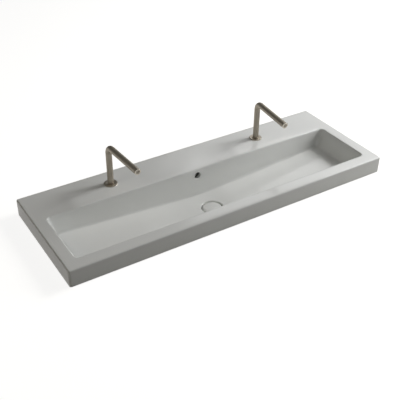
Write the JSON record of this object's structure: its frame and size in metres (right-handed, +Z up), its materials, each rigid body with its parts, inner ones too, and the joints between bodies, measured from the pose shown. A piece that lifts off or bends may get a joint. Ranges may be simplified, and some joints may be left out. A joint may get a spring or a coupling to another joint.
{
  "type": "countertop washbasin",
  "caption": "Wide rectangular countertop washbasin with a tap deck, swivelling round-tube spouts, a round overflow and a bowl floor that falls to a domed lift-up waste cap.",
  "frame": {"origin": "middle of the basin's back edge, at the level of the worktop that it stands on", "axes": "+X to the right as a user sees it, +Y from the user to the wall, +Z up"},
  "size_m": [1.2, 0.42, 0.3545],
  "materials": {
    "ceramic": "gloss glaze",
    "metal": "brushed, warm",
    "brass": "turned",
    "rubber": "matte",
    "polymer": "moulded",
    "steel": "drawn"
  },
  "bodies": {
    "basin": {"basin_body": "ceramic", "overflow_duct": "ceramic", "overflow_chamber": "ceramic", "waste_spring": "steel", "waste_sleeve": "polymer", "waste_guide_nut": "polymer", "waste_body": "brass", "waste_top_seal": "rubber", "waste_cone_seal": "rubber", "waste_washer": "polymer", "waste_back_nut": "brass", "left_thrust_washer": "polymer", "left_rosette": "metal", "left_shank": "brass", "left_deck_gasket": "rubber", "left_centring_ring": "polymer", "left_under_gasket": "rubber", "left_clamp_washer": "steel", "left_lock_nut": "brass", "right_thrust_washer": "polymer", "right_rosette": "metal", "right_shank": "brass", "right_deck_gasket": "rubber", "right_centring_ring": "polymer", "right_under_gasket": "rubber", "right_clamp_washer": "steel", "right_lock_nut": "brass"},
    "left_tap_spout": {"left_spout": "metal", "left_spigot": "brass", "left_spigot_rings": "rubber", "left_snap_ring": "steel", "left_aerator_shell": "metal", "left_aerator_insert": "polymer", "left_aerator_seal": "rubber"},
    "right_tap_spout": {"right_spout": "metal", "right_spigot": "brass", "right_spigot_rings": "rubber", "right_snap_ring": "steel", "right_aerator_shell": "metal", "right_aerator_insert": "polymer", "right_aerator_seal": "rubber"},
    "waste_plug": {"waste_cap": "ceramic", "waste_cap_carrier": "brass", "waste_cap_seal": "rubber", "waste_plunger": "brass"}
  },
  "joints": [
    {"name": "left_spout_swivel", "type": "hinge", "parent": "basin", "child": "left_tap_spout", "pos_m": [-0.2975, -0.076, 0.06], "axis": [0, 0, 1], "range_deg": [-63, 57]},
    {"name": "right_spout_swivel", "type": "hinge", "parent": "basin", "child": "right_tap_spout", "pos_m": [0.2975, -0.076, 0.06], "axis": [0, 0, 1], "range_deg": [-54, 66]},
    {"name": "waste_plug_lift", "type": "slide", "parent": "basin", "child": "waste_plug", "axis": [0, 0, 1], "range_m": [0, 0.008], "deforming": ["waste_spring"]}
  ]
}
